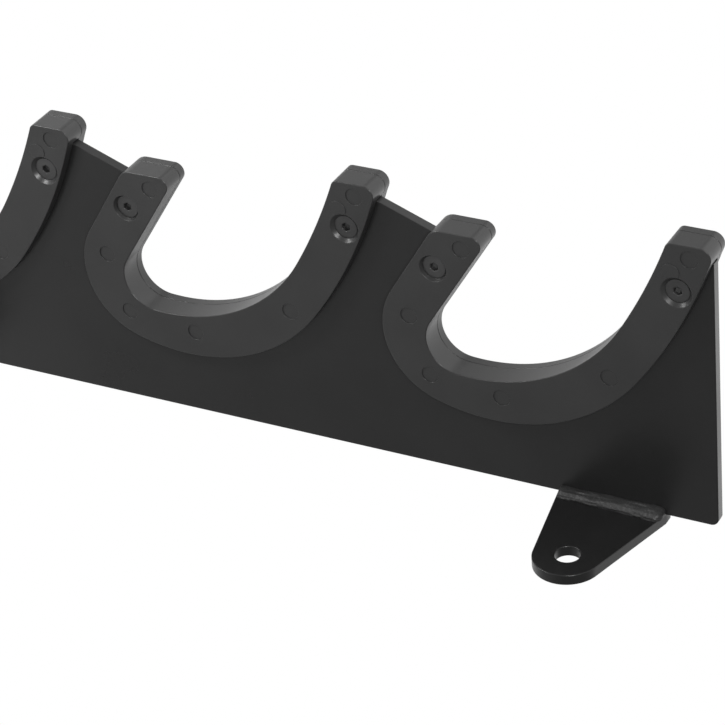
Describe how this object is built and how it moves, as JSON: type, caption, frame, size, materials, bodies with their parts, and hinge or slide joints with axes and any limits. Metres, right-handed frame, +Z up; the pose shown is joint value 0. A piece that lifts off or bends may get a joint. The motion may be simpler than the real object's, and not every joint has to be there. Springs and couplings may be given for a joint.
{
  "type": "wall bar rack",
  "caption": "Steel plate mounted edge-on to a wall, with two bolt tabs and leaning cradles lined by screwed plastic shells, for storing long bars.",
  "frame": {"origin": "on the wall, midway between the two wall bolts", "axes": "+Z up along the plate, +Y into the wall, so the cradles stand out towards -Y; +X the side that the tabs stick out to"},
  "size_m": [0.0754, 0.1598, 0.5156],
  "materials": {
    "powder_coat": "satin black powder coat",
    "liner_plastic": "matte moulded black",
    "black_fastener": "black oxide"
  },
  "bodies": {
    "root": {"plate": "powder_coat", "lower_tab": "powder_coat", "upper_tab": "powder_coat", "lower_weld": "powder_coat", "upper_weld": "powder_coat", "front_liner_1": "liner_plastic", "back_liner_1": "liner_plastic", "front_liner_2": "liner_plastic", "back_liner_2": "liner_plastic", "front_liner_3": "liner_plastic", "back_liner_3": "liner_plastic", "lower_screw_1": "black_fastener", "upper_screw_1": "black_fastener", "lower_nut_1": "black_fastener", "upper_nut_1": "black_fastener", "lower_screw_2": "black_fastener", "upper_screw_2": "black_fastener", "lower_nut_2": "black_fastener", "upper_nut_2": "black_fastener", "lower_screw_3": "black_fastener", "upper_screw_3": "black_fastener", "lower_nut_3": "black_fastener", "upper_nut_3": "black_fastener"}
  },
  "joints": []
}
